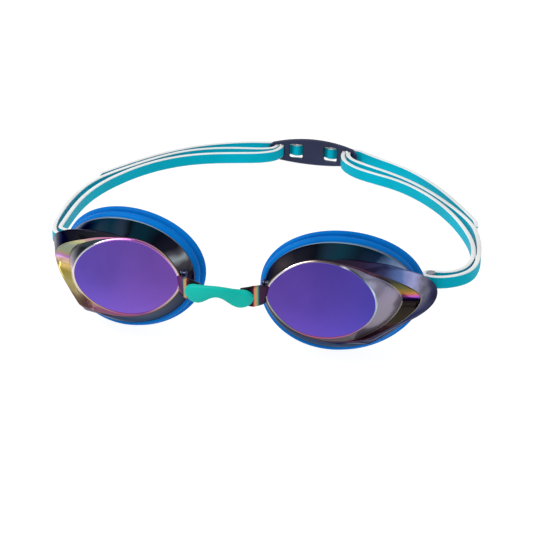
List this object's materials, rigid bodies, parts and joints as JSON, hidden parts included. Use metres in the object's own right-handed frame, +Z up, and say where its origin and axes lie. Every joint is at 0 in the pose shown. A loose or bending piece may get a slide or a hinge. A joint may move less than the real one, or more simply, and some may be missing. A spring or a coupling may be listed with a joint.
{
  "type": "swim goggles",
  "caption": "Swim goggles with mirrored oval lenses, soft gaskets, a flexible nose bridge and an adjustable silicone band with a rear clip.",
  "frame": {"origin": "bottom centre of the bounding box, on the surface the goggles stand on", "axes": "+X to the wearer's left, -Y to the front where the lenses face, +Z up"},
  "size_m": [0.1742, 0.1796, 0.0461],
  "materials": {
    "mirrored_shell": "mirror-coated polycarbonate, violet lens, dark side wall",
    "blue_silicone": "satin soft silicone",
    "bridge_silicone": "satin soft silicone",
    "band_silicone": "satin silicone, white edges",
    "navy_plastic": "satin moulded plastic"
  },
  "bodies": {
    "bridge": {"nose_bridge": "bridge_silicone"},
    "left_cup": {"left_eyecup": "mirrored_shell", "left_gasket": "blue_silicone", "left_strap_temple_loop": "band_silicone"},
    "right_cup": {"right_eyecup": "mirrored_shell", "right_gasket": "blue_silicone", "right_strap_temple_loop": "band_silicone"},
    "strap": {"rear_clip": "navy_plastic", "strap_rear_crossing": "band_silicone", "left_strap_inner_run": "band_silicone", "left_strap_outer_run": "band_silicone", "right_strap_inner_run": "band_silicone", "right_strap_outer_run": "band_silicone"},
    "left_tail": {"left_strap_tail": "band_silicone"},
    "right_tail": {"right_strap_tail": "band_silicone"}
  },
  "joints": [
    {"name": "left_cup_flex", "type": "hinge", "parent": "bridge", "child": "left_cup", "pos_m": [0.00429, -0.08758, 0.02678], "axis": [0, 0, 1], "range_deg": [-5, 8], "stiffness_Nm_per_rad": 0.004, "deforming": ["nose_bridge", "left_strap_temple_loop"]},
    {"name": "right_cup_flex", "type": "hinge", "parent": "bridge", "child": "right_cup", "pos_m": [-0.00871, -0.08758, 0.02678], "axis": [0, 0, -1], "range_deg": [-5, 8], "stiffness_Nm_per_rad": 0.004, "deforming": ["nose_bridge", "right_strap_temple_loop"]},
    {"name": "strap_swing", "type": "hinge", "parent": "bridge", "child": "strap", "pos_m": [-0.00221, -0.01758, 0.01754], "axis": [1, 0, 0], "range_deg": [0, 35], "stiffness_Nm_per_rad": 0.02, "deforming": ["left_strap_temple_loop", "right_strap_temple_loop"]},
    {"name": "left_tail_feed", "type": "hinge", "parent": "strap", "child": "left_tail", "pos_m": [-0.05458, -0.0362, 0.01963], "axis": [0, -0.1115, -0.9938], "range_deg": [-1.6, 3.19], "deforming": ["left_strap_tail"]},
    {"name": "right_tail_feed", "type": "hinge", "parent": "strap", "child": "right_tail", "pos_m": [0.00537, 0.00083, 0.01547], "axis": [0, 0.1115, 0.9938], "range_deg": [-2.49, 4.97], "deforming": ["right_strap_tail"]}
  ]
}
